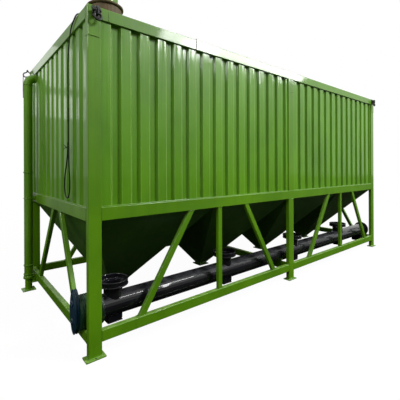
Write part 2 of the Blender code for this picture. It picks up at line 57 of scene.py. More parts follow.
def addObject(name, data):
    thing = bpy.data.objects.new(name, data)
    bpy.context.scene.collection.objects.link(thing)
    return thing


def makeCamera():
    data = bpy.data.cameras.new("siloCamera")
    data.sensor_width = 36
    data.sensor_fit = "HORIZONTAL"
    data.lens = cameraSet["focal"]
    data.shift_x = cameraSet["shiftX"]
    data.shift_y = cameraSet["shiftY"]
    data.clip_end = 200
    camera = addObject("siloCamera", data)
    camera.location = cameraSet["place"]
    camera.rotation_euler = (math.radians(90), math.radians(cameraSet["roll"]),
                             math.radians(cameraSet["turn"]))
    bpy.context.scene.camera = camera


makeCamera()
print("camera set")


# mesh tools
def gridFaces(rows, cols, wrapRows=False, wrapCols=True):
    # Quads between neighbouring rows and columns of a grid of points.
    a, b = np.meshgrid(np.arange(rows if wrapRows else rows - 1),
                       np.arange(cols if wrapCols else cols - 1), indexing="ij")
    nextA, nextB = (a + 1) % rows, (b + 1) % cols
    corners = [a * cols + b, a * cols + nextB, nextA * cols + nextB, nextA * cols + b]
    return np.stack(corners, -1).reshape(-1, 4)


def endCaps(rows, cols):
    # One many-sided face on the first row and one on the last.
    return np.stack([np.arange(cols)[::-1], (rows - 1) * cols + np.arange(cols)])


def turned(profile, sides, closed=False, phase=0.0):
    # Every (radius, height) of the profile goes once round: r cos a, r sin a, height.
    profile = np.asarray(profile, float)
    angle = 2 * np.pi * np.arange(sides) / sides + phase
    points = np.stack([profile[:, :1] * np.cos(angle), profile[:, :1] * np.sin(angle),
                       np.broadcast_to(profile[:, 1:], (len(profile), sides))], -1).reshape(-1, 3)
    faces = [gridFaces(len(profile), sides, wrapRows=closed)]
    if not closed:
        faces.append(endCaps(len(profile), sides))
    return points, faces


def swept(path, profile, scale=1.0, up=(0, 0, 1), closed=False):
    # A closed outline (u, v) carried along a path: point + scale (u across + v upright),
    # where across = up x forward and upright = forward x across.
    path, profile = np.asarray(path, float), np.asarray(profile, float)
    if closed:
        forward = np.roll(path, -1, 0) - np.roll(path, 1, 0)
    else:
        forward = np.gradient(path, axis=0)
    forward /= np.linalg.norm(forward, axis=1, keepdims=True)
    across = np.cross(np.broadcast_to(np.asarray(up, float), forward.shape), forward)
    across /= np.linalg.norm(across, axis=1, keepdims=True)
    upright = np.cross(forward, across)
    size = np.broadcast_to(np.asarray(scale, float).reshape(-1, 1, 1), (len(path), 1, 1))
    u, v = profile[None, :, :1], profile[None, :, 1:]
    points = path[:, None] + size * (u * across[:, None] + v * upright[:, None])
    faces = [gridFaces(len(path), len(profile), wrapRows=closed)]
    if not closed:
        faces.append(endCaps(len(path), len(profile)))
    return points.reshape(-1, 3), faces


def circle(radius, sides):
    angle = 2 * np.pi * np.arange(sides) / sides
    return radius * np.stack([np.cos(angle), np.sin(angle)], -1)


def oblong(halfA, halfB, corner, steps=3):
    # Rectangle outline with round corners, anticlockwise.
    angle = np.linspace(0, np.pi / 2, steps + 1)
    arc = corner * np.stack([np.cos(angle), np.sin(angle)], -1)
    turns = [(1, 1, arc), (-1, 1, np.stack([-arc[:, 1], arc[:, 0]], -1)),
             (-1, -1, -arc), (1, -1, np.stack([arc[:, 1], -arc[:, 0]], -1))]
    return np.concatenate([np.array([sa * (halfA - corner), sb * (halfB - corner)]) + part
                           for sa, sb, part in turns])


def towards(direction, twist=0.0):
    # Rotation that lays the Z axis along a direction, after a turn about Z.
    w = np.asarray(direction, float) / np.linalg.norm(direction)
    helper = np.array([0.0, 0.0, 1.0]) if abs(w[2]) < 0.9 else np.array([1.0, 0.0, 0.0])
    u = np.cross(helper, w)
    u /= np.linalg.norm(u)
    v = np.cross(w, u)
    spin = np.array([[math.cos(twist), -math.sin(twist), 0], [math.sin(twist), math.cos(twist), 0],
                     [0, 0, 1]])
    return np.stack([u, v, w], 1) @ spin


def placed(shape, place, turn=None):
    points, faces = shape
    turn = np.eye(3) if turn is None else turn
    return points @ turn.T + np.asarray(place, float), faces


def repeated(shape, places, turn=None):
    # The same shape at many places: all points at once, the faces' numbers shifted by a step.
    points, faces = placed(shape, (0, 0, 0), turn)
    places = np.asarray(places, float).reshape(-1, 3)
    step = (np.arange(len(places)) * len(points))[:, None, None]
    return (points[None] + places[:, None]).reshape(-1, 3), [(f[None] + step).reshape(-1, f.shape[1])
                                                             for f in faces]


def layered(rows):
    # A closed form through outlines with the same number of points, from the first to the last.
    return np.concatenate(rows), [gridFaces(len(rows), len(rows[0])), endCaps(len(rows), len(rows[0]))]


def joined(shapes):
    points, faces, start = [], [], 0
    for part, partFaces in shapes:
        points.append(part)
        faces += [f + start for f in partFaces]
        start += len(part)
    return np.concatenate(points), faces


def makePiece(name, shape, material, sharp=35):
    points, faces = shape
    mesh = bpy.data.meshes.new(name)
    mesh.from_pydata(points.tolist(), [], [row for block in faces for row in block.tolist()])
    mesh.update()
    mesh.materials.append(material)
    mesh.shade_smooth()
    mesh.set_sharp_from_angle(angle=math.radians(sharp))
    piece = addObject(name, mesh)
    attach(piece, "root")
    return piece


def local(points):
    # From the frame's own middle to the object's origin.
    return np.asarray(points, float) + np.array([shiftX, 0, 0])


def makeDetail(name, shapes, slotName, sharp=35):
    # Several shapes as one piece, moved to the object's origin, in the finish of its slot.
    points, faces = joined(shapes)
    return makePiece(name, (local(points), faces), finishes[slotName], sharp)


# shared effects
def nodeIn(tree, kind, x, y, **values):
    node = tree.nodes.new(kind)
    node.location = (x, y)
    for key, value in values.items():
        if hasattr(node, key):
            setattr(node, key, value)
        else:
            node.inputs[key.replace("_", " ")].default_value = value
    return node


def makeGroup(name, inputs, outputs):
    group = bpy.data.node_groups.new(name, "ShaderNodeTree")
    for label, value in inputs:
        group.interface.new_socket(label, in_out="INPUT", socket_type="NodeSocketFloat").default_value = value
    for label in outputs:
        group.interface.new_socket(label, in_out="OUTPUT", socket_type="NodeSocketFloat")
    return group, nodeIn(group, "NodeGroupInput", -900, 0), nodeIn(group, "NodeGroupOutput", 700, 0)


def ranged(tree, source, low, high, x, y, toLow=0.0, toHigh=1.0):
    node = nodeIn(tree, "ShaderNodeMapRange", x, y)
    node.inputs["From Min"].default_value = low
    node.inputs["From Max"].default_value = high
    node.inputs["To Min"].default_value = toLow
    node.inputs["To Max"].default_value = toHigh
    tree.links.new(source, node.inputs["Value"])
    return node.outputs["Result"]


def maths(tree, operation, a, b, x, y):
    node = nodeIn(tree, "ShaderNodeMath", x, y, operation=operation)
    for socket, value in zip(node.inputs, (a, b)):
        if isinstance(value, (int, float)):
            socket.default_value = value
        elif value is not None:
            tree.links.new(value, socket)
    return node.outputs[0]


def stretchedNoise(tree, stretch, x, y, detail=4.0, rough=0.55):
    coords = nodeIn(tree, "ShaderNodeTexCoord", x - 400, y)
    mapping = nodeIn(tree, "ShaderNodeMapping", x - 200, y)
    mapping.inputs["Scale"].default_value = stretch
    noise = nodeIn(tree, "ShaderNodeTexNoise", x, y)
    noise.inputs["Scale"].default_value = 1.0
    noise.inputs["Detail"].default_value = detail
    noise.inputs["Roughness"].default_value = rough
    tree.links.new(coords.outputs["Object"], mapping.inputs["Vector"])
    tree.links.new(mapping.outputs["Vector"], noise.inputs["Vector"])
    return noise.outputs["Fac"]


def makeEdgeWearAndFoldHighlight():
    # Mask: rubbed edges, where a rounded normal leaves the face's own, broken up by noise.
    # Fold: a painted highlight along the edges of the long faces that turn to the right, standing in for the
    # sun's reflection on them.
    group, source, result = makeGroup("edgeWearAndFoldHighlight", [("Amount", 1.0), ("Radius", 0.006), ("Bleach", 0.0)],
                                      ["Mask", "FoldHighlight"])
    bevel = nodeIn(group, "ShaderNodeBevel", -700, 200, samples=6)
    group.links.new(source.outputs["Radius"], bevel.inputs["Radius"])
    geometry = nodeIn(group, "ShaderNodeNewGeometry", -700, -50)
    dot = nodeIn(group, "ShaderNodeVectorMath", -500, 100, operation="DOT_PRODUCT")
    group.links.new(bevel.outputs["Normal"], dot.inputs[0])
    group.links.new(geometry.outputs["Normal"], dot.inputs[1])
    edge = ranged(group, dot.outputs["Value"], 0.985, 0.88, -300, 100)
    breakUp = ranged(group, stretchedNoise(group, (22, 22, 22), -300, -250, 6.0, 0.7), 0.52, 0.66, -100, -250)
    both = maths(group, "MULTIPLY", edge, breakUp, 100, 0)
    group.links.new(maths(group, "MULTIPLY", both, source.outputs["Amount"], 300, 0), result.inputs["Mask"])
    roundParts = nodeIn(group, "ShaderNodeSeparateXYZ", -500, 500)
    ownParts = nodeIn(group, "ShaderNodeSeparateXYZ", -500, 700)
    group.links.new(bevel.outputs["Normal"], roundParts.inputs[0])
    group.links.new(geometry.outputs["Normal"], ownParts.inputs[0])
    turn = maths(group, "SUBTRACT", roundParts.outputs["X"], ownParts.outputs["X"], -300, 500)
    paintedFoldHighlight = maths(group, "MULTIPLY", ranged(group, turn, 0.05, 0.25, -100, 500),
                 ranged(group, ownParts.outputs["X"], -0.4, -0.2, -100, 700), 100, 600)
    group.links.new(maths(group, "MULTIPLY", paintedFoldHighlight, source.outputs["Bleach"], 300, 600), result.inputs["FoldHighlight"])
    return group


def makeWeatheringAndTopLight():
    # Runs: narrow streaks drawn out along Z. Patch: broad cloudy change.
    # Dust: what lies on faces that look up, in a colour that also paints in the light falling on them.
    group, source, result = makeGroup("weatheringAndTopLight", [("Runs", 1.0), ("Dust", 1.0)], ["Runs", "Patch", "Dust"])
    runs = ranged(group, stretchedNoise(group, (16, 16, 0.55), -400, 300, 5.0, 0.65), 0.50, 0.74, -200, 300)
    group.links.new(maths(group, "MULTIPLY", runs, source.outputs["Runs"], 200, 300), result.inputs["Runs"])
    patch = ranged(group, stretchedNoise(group, (1.3, 1.3, 0.9), -400, 50, 4.0, 0.6), 0.32, 0.68, -200, 50)
    group.links.new(patch, result.inputs["Patch"])
    geometry = nodeIn(group, "ShaderNodeNewGeometry", -800, -300)
    parts = nodeIn(group, "ShaderNodeSeparateXYZ", -600, -300)
    group.links.new(geometry.outputs["Normal"], parts.inputs[0])
    upward = ranged(group, parts.outputs["Z"], 0.35, 0.9, -400, -300)
    grain = ranged(group, stretchedNoise(group, (14, 14, 14), -400, -500, 8.0, 0.75), 0.35, 0.62, -200, -500)
    dustAndTopLightMask = maths(group, "MULTIPLY", upward, grain, 0, -300)
    group.links.new(maths(group, "MULTIPLY", dustAndTopLightMask, source.outputs["Dust"], 200, -300),
                    result.inputs["Dust"])
    return group


def makePaintSkin():
    # Height of sprayed enamel: fine orange peel, slow waves of thin sheet, and the upright
    # ridges that folding pulls into it.
    group, source, result = makeGroup("paintSkin", [("Peel", 1.0), ("Waves", 1.0), ("Pull", 0.0)],
                                      ["Height", "Gloss"])
    peel = stretchedNoise(group, (260, 260, 260), -400, 300, 2.0, 0.5)
    waves = stretchedNoise(group, (2.6, 2.6, 1.1), -400, 0, 2.0, 0.4)
    fine = maths(group, "MULTIPLY", peel, source.outputs["Peel"], -100, 300)
    broad = maths(group, "MULTIPLY", waves, source.outputs["Waves"], -100, 0)
    ridges = stretchedNoise(group, (15, 15, 0.8), -400, -600, 2.0, 0.5)
    pulled = maths(group, "MULTIPLY", ridges, source.outputs["Pull"], -100, -600)
    both = maths(group, "ADD", fine, broad, 200, 150)
    group.links.new(maths(group, "ADD", both, pulled, 400, 150), result.inputs["Height"])
    gloss = ranged(group, stretchedNoise(group, (5, 5, 3), -400, -300, 5.0, 0.6), 0.35, 0.7, -200, -300)
    group.links.new(gloss, result.inputs["Gloss"])
    return group


edgeWearAndFoldHighlight = makeEdgeWearAndFoldHighlight()
weatheringAndTopLight = makeWeatheringAndTopLight()
paintSkin = makePaintSkin()
print("shared effects made")


# finishes
def linear(red, green, blue):
    # 0 to 255 as seen on a screen, to the linear light that a shader takes.
    part = [c / 255 for c in (red, green, blue)]
    return tuple(c / 12.92 if c <= 0.04045 else ((c + 0.055) / 1.055) ** 2.4 for c in part) + (1.0,)


def mixColour(tree, factor, first, second, x, y):
    node = nodeIn(tree, "ShaderNodeMix", x, y, data_type="RGBA")
    tree.links.new(factor, node.inputs["Factor"])
    for socket, value in ((node.inputs["A"], first), (node.inputs["B"], second)):
        if isinstance(value, tuple):
            socket.default_value = value
        else:
            tree.links.new(value, socket)
    return node.outputs["Result"]


def useGroup(tree, group, x, y, **values):
    node = nodeIn(tree, "ShaderNodeGroup", x, y, node_tree=group)
    for key, value in values.items():
        node.inputs[key].default_value = value
    return node


def enamel(name, look):
    # Paint over steel: tone that clouds slowly, dirt in runs, dust on top in a colour that also paints in
    # light, wear at the edges, and a painted highlight on the folds that turn to the right.
    material = bpy.data.materials.new(name)
    material.use_nodes = True
    tree = material.node_tree
    shader = tree.nodes["Principled BSDF"]
    weatherAndTopLight = useGroup(tree, weatheringAndTopLight, -900, 200, Runs=look["runs"], Dust=look["dustAndTopLight"])
    wear = useGroup(tree, edgeWearAndFoldHighlight, -900, -50, Amount=look["wear"], Radius=look["round"] + 0.002,
                    Bleach=look["foldHighlightAmount"])
    skin = useGroup(tree, paintSkin, -900, -300, Peel=look["peel"], Waves=look["waves"],
                    Pull=look["pull"])
    tone = mixColour(tree, weatherAndTopLight.outputs["Patch"], linear(*look["deep"]), linear(*look["light"]), -650, 300)
    dirty = mixColour(tree, weatherAndTopLight.outputs["Runs"], tone, linear(*look["dirt"]), -450, 300)
    # Dust on upward faces; its colour also paints in the light that falls on the tops.
    withDustAndTopLight = mixColour(tree, weatherAndTopLight.outputs["Dust"], dirty, linear(*look["dustAndTopLightColour"]), -250, 300)
    worn = mixColour(tree, wear.outputs["Mask"], withDustAndTopLight, linear(*look["bare"]), -50, 300)
    # Painted highlight on the right-turning folds, in the pale colour, standing in for the sun's reflection
    # there.
    withFoldHighlight = mixColour(tree, wear.outputs["FoldHighlight"], worn, linear(*look["pale"]), -50, 500)
    tree.links.new(withFoldHighlight, shader.inputs["Base Color"])
    rough = ranged(tree, skin.outputs["Gloss"], 0.0, 1.0, -450, -50, look["rough"],
                   look["rough"] + look["roughSpan"])
    dull = maths(tree, "MULTIPLY", weatherAndTopLight.outputs["Dust"], 0.35, -450, -250)
    tree.links.new(maths(tree, "ADD", rough, dull, -250, -50), shader.inputs["Roughness"])
    tree.links.new(maths(tree, "MULTIPLY", wear.outputs["Mask"], look["bareMetal"], -250, -250),
                   shader.inputs["Metallic"])
    bump = nodeIn(tree, "ShaderNodeBump", -250, -450)
    bump.inputs["Strength"].default_value = 1.0
    bump.inputs["Distance"].default_value = look["depth"]
    tree.links.new(skin.outputs["Height"], bump.inputs["Height"])
    rounded = nodeIn(tree, "ShaderNodeBevel", -450, -650, samples=4)
    rounded.inputs["Radius"].default_value = look["round"]
    tree.links.new(rounded.outputs["Normal"], bump.inputs["Normal"])
    for socket in ("Normal", "Coat Normal"):
        tree.links.new(bump.outputs["Normal"], shader.inputs[socket])
    shader.inputs["Specular IOR Level"].default_value = look["shine"]
    shader.inputs["Coat Weight"].default_value = look["coat"]
    shader.inputs["Coat Roughness"].default_value = look["coatRough"]
    return material


# pale: the colour of the painted highlight on the folds that turn to the right.
baseLook = {"runs": 0.20, "dustAndTopLight": 0.6, "wear": 0.25, "peel": 0.04, "waves": 0.4, "pull": 0.0, "depth": 0.0015,
            "rough": 0.42, "roughSpan": 0.12, "shine": 0.2, "coat": 0.6, "coatRough": 0.06, "round": 0.004,
            # powder: dust on upward faces, pale green on the frame and walls so that it also paints in the
            # light on their tops.
            "bareMetal": 0.3, "foldHighlightAmount": 0.0, "pale": (176, 214, 108), "dustAndTopLightColour": (158, 190, 112),
            "bare": (150, 170, 110)}
frameLook = dict(baseLook, deep=(74, 121, 2), light=(91, 141, 6), dirt=(50, 86, 6))
# The walls carry the painted fold highlight at half strength.
wallLook = dict(baseLook, deep=(76, 127, 2), light=(93, 148, 6), dirt=(58, 102, 6), waves=0.5, pull=2.0,
                round=0.010, foldHighlightAmount=0.5, depth=0.003, dustAndTopLight=0.4, wear=0.1, runs=0.15)
# The hopper's deep and light greens are darker than the frame's: painted shade for the plates under the bin.
shadedHopperLook = dict(baseLook, deep=(46, 88, 20), light=(64, 106, 36), dirt=(92, 98, 52), runs=0.6, dustAndTopLight=0.9,
                  coat=0.15, coatRough=0.2, waves=1.2, depth=0.003, dustAndTopLightColour=(112, 116, 74),
                  bare=(60, 70, 44))
blackLook = dict(baseLook, deep=(10, 10, 14), light=(20, 20, 26), dirt=(50, 48, 46), rough=0.40, runs=0.2,
                 coat=1.0, coatRough=0.03, waves=0.1, peel=0.01, shine=0.08,
                 dustAndTopLight=0.40, dustAndTopLightColour=(84, 84, 88), bare=(80, 80, 84))
housingLook = dict(baseLook, deep=(8, 36, 20), light=(14, 52, 30), dirt=(36, 42, 30), dustAndTopLightColour=(90, 104, 88),
                   bare=(100, 112, 98))
guardLook = dict(baseLook, deep=(5, 24, 38), light=(10, 44, 62), dirt=(36, 40, 44), dustAndTopLightColour=(90, 100, 108),
                 bare=(110, 120, 126))
primerLook = dict(baseLook, deep=(74, 60, 42), light=(116, 100, 74), dirt=(56, 42, 30), rough=0.55, coat=0.0,
                  runs=0.8, dustAndTopLightColour=(150, 146, 126), bare=(92, 58, 40))
rubberLook = dict(baseLook, deep=(12, 14, 12), light=(22, 24, 22), dirt=(46, 46, 42), rough=0.5, wear=0.0,
                  coat=0.0, waves=0.0, round=0.001, dustAndTopLightColour=(84, 86, 82), bare=(40, 40, 40))
steelLook = dict(baseLook, deep=(30, 32, 30), light=(66, 68, 64), dirt=(70, 52, 38), rough=0.30, runs=0.4,
                 coat=0.0, dustAndTopLight=0.3, wear=0.8, dustAndTopLightColour=(120, 120, 110), bare=(190, 190, 186), bareMetal=0.9)
finishes = {"green_paint": enamel("greenEnamel", frameLook), "wall_sheet": enamel("wallEnamel", wallLook),
            "hopper_plate": enamel("shadedHopperEnamel", shadedHopperLook),
            "black_paint": enamel("blackEnamel", blackLook),
            "dark_green_paint": enamel("housingEnamel", housingLook),
            "blue_paint": enamel("guardEnamel", guardLook),
            "brown_paint": enamel("rustPrimer", primerLook),
            "cable_rubber": enamel("cableRubber", rubberLook)}
steelPaint = enamel("shackleSteel", steelLook)
for entry in frame["record"]["subparts"]:
    frame["nodes"][entry["node"]].material_slots[0].material = finishes[entry["material_slot"]]
print("finishes made")


# the filter's cable, with its spare length in a tied loop
cableSet = {"radius": 0.006, "exit": (-2.9138, -0.862, 3.200)}
# Out of the gland, over the roof's edge, down the end wall, round the loop and up to the tie.
cableRoute = [
    (-2.9138, -0.862, 3.200), (-2.934, -0.862, 3.200), (-2.952, -0.867, 3.195), (-2.966, -0.880, 3.179),
    (-2.979, -0.900, 3.156), (-2.991, -0.924, 3.133), (-3.005, -0.946, 3.120), (-3.020, -0.957, 3.1125),
    (-3.033, -0.951, 3.1040), (-3.0392, -0.928, 3.092), (-3.0395, -0.890, 3.078), (-3.0395, -0.852, 3.064),
    (-3.0395, -0.816, 3.042), (-3.040, -0.788, 3.010), (-3.042, -0.766, 2.960), (-3.045, -0.748, 2.880),
    (-3.048, -0.738, 2.800), (-3.050, -0.732, 2.700),
    (-3.049, -0.728, 2.500), (-3.048, -0.726, 2.300), (-3.048, -0.725, 2.100), (-3.048, -0.726, 1.960),
    (-3.048, -0.727, 1.880), (-3.049, -0.733, 1.800), (-3.051, -0.752, 1.700), (-3.053, -0.776, 1.600),
    (-3.054, -0.786, 1.520), (-3.054, -0.777, 1.450), (-3.053, -0.744, 1.398), (-3.052, -0.697, 1.380),
    (-3.052, -0.650, 1.398), (-3.052, -0.617, 1.450), (-3.052, -0.609, 1.520), (-3.051, -0.622, 1.600),
    (-3.049, -0.658, 1.700), (-3.048, -0.694, 1.800), (-3.048, -0.710, 1.880), (-3.049, -0.709, 1.930)]


def throughPoints(route, steps):
    # Smooth curve through every point of a route: Catmull-Rom, worked out for all stretches at once.
    route = np.asarray(route, float)
    before = np.concatenate([route[:1], route[:-2]])
    start, end = route[:-1], route[1:]
    after = np.concatenate([route[2:], route[-1:]])
    t = (np.arange(steps) / steps)[None, :, None]
    a, b, c, d = (part[:, None] for part in (before, start, end, after))
    curve = 0.5 * (2 * b + (c - a) * t + (2 * a - 5 * b + 4 * c - d) * t ** 2
                   + (3 * b - a - 3 * c + d) * t ** 3)
    return np.concatenate([curve.reshape(-1, 3), route[-1:]])


def makeCable():
    line = local(throughPoints(cableRoute, 5))
    curve = bpy.data.curves.new("filterCable", "CURVE")
    curve.dimensions = "3D"
    curve.bevel_depth = cableSet["radius"]
    curve.bevel_resolution = 4
    curve.use_fill_caps = True
    spline = curve.splines.new("POLY")
    spline.points.add(len(line) - 1)
    spline.points.foreach_set("co", np.concatenate([line, np.ones((len(line), 1))], 1).ravel())
    spline.use_smooth = True
    curve.materials.append(finishes["cable_rubber"])
    cable = addObject("filterCable", curve)
    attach(cable, "root")
    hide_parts("vent_cable")
    reach = float(np.linalg.norm(np.diff(line, axis=0), axis=1).sum())
    return cable, line, reach


def makeTie():
    # Flat band round the two strands, twice, with its two loose ends.
    outline = oblong(0.0042, 0.0011, 0.0010)
    bands = []
    for z in (1.884, 1.868):
        angle = 2 * np.pi * np.arange(28) / 28
        ring = np.stack([-3.048 + 0.0086 * np.cos(angle), -0.7185 + 0.0168 * np.sin(angle),
                         z + 0.002 * np.sin(2 * angle)], -1)
        bands.append(swept(ring, outline[:, ::-1], closed=True))
    for lift, reach in ((0.034, 0.052), (-0.030, 0.040)):
        t = np.linspace(0, 1, 12)[:, None]
        tail = np.array([-3.056, -0.706, 1.876]) + t * np.array([-0.020, reach, lift]) \
            + np.sin(np.pi * t) * np.array([-0.008, 0, 0.010])
        bands.append(swept(tail, outline[:, ::-1], scale=np.linspace(1, 0.6, 12)))
    return makeDetail("cableTie", bands, "cable_rubber")


def makeRelief():
    # Tapered rubber sleeve over the first of the cable: it follows the cable and narrows.
    line = cableLine[:9] - np.array([shiftX, 0, 0])
    size = np.linspace(0.0115, 0.0072, len(line))
    ripple = 1 + 0.06 * np.cos(np.arange(len(line)) * np.pi)
    return makeDetail("cableRelief", [swept(line, circle(1.0, 20), scale=size * ripple)], "cable_rubber")


cable, cableLine, cableReach = makeCable()
tie = makeTie()
relief = makeRelief()
print("cable made", round(cableReach, 3), "m")


# welds
weldSet = {"radius": 0.0038, "ripple": 0.16, "pitch": 0.012}


def resampled(path, step):
    # Points at even steps along a folded line.
    path = np.asarray(path, float)
    travel = np.concatenate([[0], np.cumsum(np.linalg.norm(np.diff(path, axis=0), axis=1))])
    want = np.linspace(0, travel[-1], max(3, int(travel[-1] / step) + 1))
    return np.stack([np.interp(want, travel, path[:, k]) for k in range(3)], -1), want


def bead(path, up=(0, 0, 1), radius=None, closed=False):
    # Round seam whose radius swells and narrows: r (1 + ripple sin(2 pi distance / pitch)).
    path = np.asarray(path, float)
    if closed:
        path = np.concatenate([path, path[:1]])
    line, travel = resampled(path, weldSet["pitch"] / 3)
    if closed:
        line, travel = line[:-1], travel[:-1]
    swell = 1 + weldSet["ripple"] * np.sin(2 * np.pi * travel / weldSet["pitch"])
    return swept(line, circle(radius or weldSet["radius"], 6), scale=swell, up=up, closed=closed)


def loopAt(middle, halfX, halfY):
    outline = oblong(halfX, halfY, 0.005, 2)
    return np.concatenate([outline, np.zeros((len(outline), 1))], 1) + np.asarray(middle, float)


braceSet = {"feet": (0.512, 1.572, 2.628), "heads": (1.145, 1.572, 2.041), "halves": (0.0385, 0.0325, 0.0378),
            "endFeet": (-0.845, 0.700), "endHeads": (-0.290, -0.030), "side": 0.028, "half": 0.036,
            "deep": 0.0225}


def makeFrameWelds():
    seams = []
    for signY in (-1, 1):
        y = signY * (halfWide - braceSet["side"])
        for start in (-halfLong, 0.0):
            for foot, head, half in zip(braceSet["feet"], braceSet["heads"], braceSet["halves"]):
                for reach, z in ((foot, lowTop + 0.001), (head, beltFoot - 0.001)):
                    seams.append(bead(loopAt((start + reach, y, z), half, braceSet["deep"]), closed=True))
        for x in postX:
            seams.append(bead(loopAt((x, signY * 1.191, 0.0115), 0.061, 0.029), radius=0.0045, closed=True))
        face = signY * (halfWide + 0.0005)
        ends = [(s * 2.909, low, high) for s in (-1, 1) for low, high in railHeights]
        for x, low, high in ends + [(s * 0.060, lowFoot, lowTop) for s in (-1, 1)]:
            seams.append(bead([(x, face, low + 0.004), (x, face, high - 0.004)], up=(0, 1, 0), radius=0.003))
        for z in (beltFoot, beltTop):
            seams.append(bead([(-0.058, face, z), (0.058, face, z)], radius=0.003))
        seams.append(bead([(-0.055, face, 2.800), (0.055, face, 2.800)], radius=0.003))
        seams.append(bead([(-2.834, face, railFoot + 0.004), (-2.834, face, tallTop - 0.004)], up=(0, 1, 0),
                          radius=0.0035))
    for signX in (-1, 1):
        x = signX * (halfLong - braceSet["side"])
        for foot, head in zip(braceSet["endFeet"], braceSet["endHeads"]):
            for y, z in ((foot, lowTop + 0.001), (head, beltFoot - 0.001)):
                seams.append(bead(loopAt((x, y, z), braceSet["deep"], braceSet["half"] + 0.002), closed=True))
        face = signX * (halfLong + 0.0005)
        for y in (-1.163, 1.163):
            for low, high in railHeights:
                seams.append(bead([(face, y, low + 0.004), (face, y, high - 0.004)], up=(1, 0, 0),
                                  radius=0.003))
        for signY in (-1, 1):
            seams.append(bead([(face, signY * 1.168, 2.830), (face, signY * 1.214, 2.830)], up=(0, 0, 1),
                              radius=0.003))
    return makeDetail("frameWelds", seams, "green_paint", sharp=80)


hopperSet = {"outlets": [-halfLong + 6.058 / 8 * (2 * k + 1) for k in range(4)],
             "edges": (-2.973, -1.5145, 0.0, 1.5145, 2.973), "neck": 0.068, "neckTop": 0.1353,
             "collar": 0.0695, "collarTop": 0.1345, "collarFoot": 0.1115, "flange": 0.1098}


def makeHopperWelds():
    seams = []
    neck, collar = hopperSet["neck"], hopperSet["collar"]
    for k, out in enumerate(hopperSet["outlets"]):
        left, right = hopperSet["edges"][k] + 0.0003, hopperSet["edges"][k + 1] - 0.0003
        for x, neckX in ((left, out - neck), (right, out + neck)):
            for signY in (-1, 1):
                line = [(x, signY * bayWide, beltFoot), (neckX, signY * neck, hopperSet["neckTop"])]
                seams.append(bead(line, radius=0.004))
        for z in (hopperSet["collarTop"], hopperSet["collarFoot"]):
            seams.append(bead(loopAt((out, 0, z), collar, collar), radius=0.003, closed=True))
    return makeDetail("hopperWelds", seams, "hopper_plate", sharp=80)


wallSet = {"pitch": 0.200, "slope": 0.018, "outer": 0.016, "inner": 0.044, "ribs": 14, "endRibs": 11,
           "leads": (0.098, 0.118)}


def ribLine(start, end, lead, ribs):
    # The sheet's folds, seen from above: four corners a rib, from one end of the bay to the other.
    k = np.arange(ribs)[:, None]
    along = start + lead + k * wallSet["pitch"] + np.array([0, wallSet["slope"], 0.1 - wallSet["slope"], 0.1])
    inward = np.broadcast_to([wallSet["outer"], wallSet["inner"], wallSet["inner"], wallSet["outer"]],
                             along.shape)
    return np.concatenate([[[start, wallSet["outer"]]], np.stack([along.ravel(), inward.ravel()], -1),
                           [[end, wallSet["outer"]]]])


def makeWallSeams():
    # Thin line of sealed weld where each sheet stands on the belt and meets the top rail.
    seams = []
    endLead = bayWide - wallSet["pitch"] * (2 * wallSet["endRibs"] - 1) / 4
    lines = [(ribLine(-bayOuter, -bayInner, wallSet["leads"][0], wallSet["ribs"]), 0),
             (ribLine(bayInner, bayOuter, wallSet["leads"][1], wallSet["ribs"]), 0),
             (ribLine(-bayWide, bayWide, endLead, wallSet["endRibs"]), 1)]
    for line, kind in lines:
        for z in (beltTop + 0.0012, railFoot - 0.0012):
            level = np.full(len(line), z)
            for sign in (-1, 1):
                inward = sign * ((halfLong if kind else halfWide) - line[:, 1] + 0.0008)
                path = np.stack([inward, line[:, 0], level] if kind else [line[:, 0], inward, level], -1)
                seams.append(swept(path, circle(0.0034, 6)))
    return makeDetail("wallSeams", seams, "wall_sheet", sharp=80)


makeFrameWelds()
makeHopperWelds()
makeWallSeams()
print("welds made")


# bolts
boltSet = {"head": 0.0095, "washer": 0.0125}


def hexBolt(size=1.0):
    # Washer turned from 16 sides and a head turned from 6, its corners cut back at the top.
    r, w = boltSet["head"] * size, boltSet["washer"] * size
    washer = turned([(w, -0.001), (w, 0.0018 * size), (w * 0.94, 0.0024 * size)], 16)
    head = turned([(r, 0.002 * size), (r, 0.0075 * size), (r * 0.84, 0.0092 * size)], 6)
    stud = turned([(r * 0.52, 0.005), (r * 0.52, 0.013 * size), (r * 0.42, 0.0145 * size)], 10)
    return joined([washer, head, stud])


def spotsRound(middle, radii, count, start=0.0, axis=2):
    # Even spots on an oval about a middle, in the plane across one of the three axes.
    angle = start + 2 * np.pi * np.arange(count) / count
    spots = np.tile(np.asarray(middle, float), (count, 1))
    flat = [k for k in range(3) if k != axis]
    spots[:, flat] += np.asarray(radii) * np.stack([np.cos(angle), np.sin(angle)], -1)
    return spots


screwSet = {"y": -1.000, "z": 0.345, "inlets": [-2.713 + 1.529 * k for k in range(4)],
            "start": -2.860, "end": 2.930, "cup": 0.145, "cupTop": 0.585, "cupFloor": 0.543,
            "boxFoot": 0.188}


def makeConveyorBolts():
    y, z = screwSet["y"], screwSet["z"]
    shapes = []
    for x, radius, way in ((screwSet["start"] + 0.0118, 0.1275, 1), (screwSet["end"] - 0.0118, 0.1275, -1),
                           (screwSet["end"] - 0.0002, 0.1300, 1)):
        shapes.append(repeated(hexBolt(0.92), spotsRound((x, y, z), radius, 10, 0.3, axis=0),
                               towards((way, 0, 0))))
    for x in screwSet["inlets"]:
        middle = (x, y, screwSet["cupFloor"] + 0.0008)
        shapes.append(repeated(hexBolt(0.8), spotsRound(middle, screwSet["cup"] - 0.026, 8, 0.2)))
        under = np.array([(x + dx, y + dy, screwSet["boxFoot"] - 0.0058) for dx in (-0.056, 0.056)
                          for dy in (-0.042, 0.042)])
        shapes.append(repeated(hexBolt(0.7), under, towards((0, 0, -1))))
    return makeDetail("conveyorBolts", shapes, "black_paint")


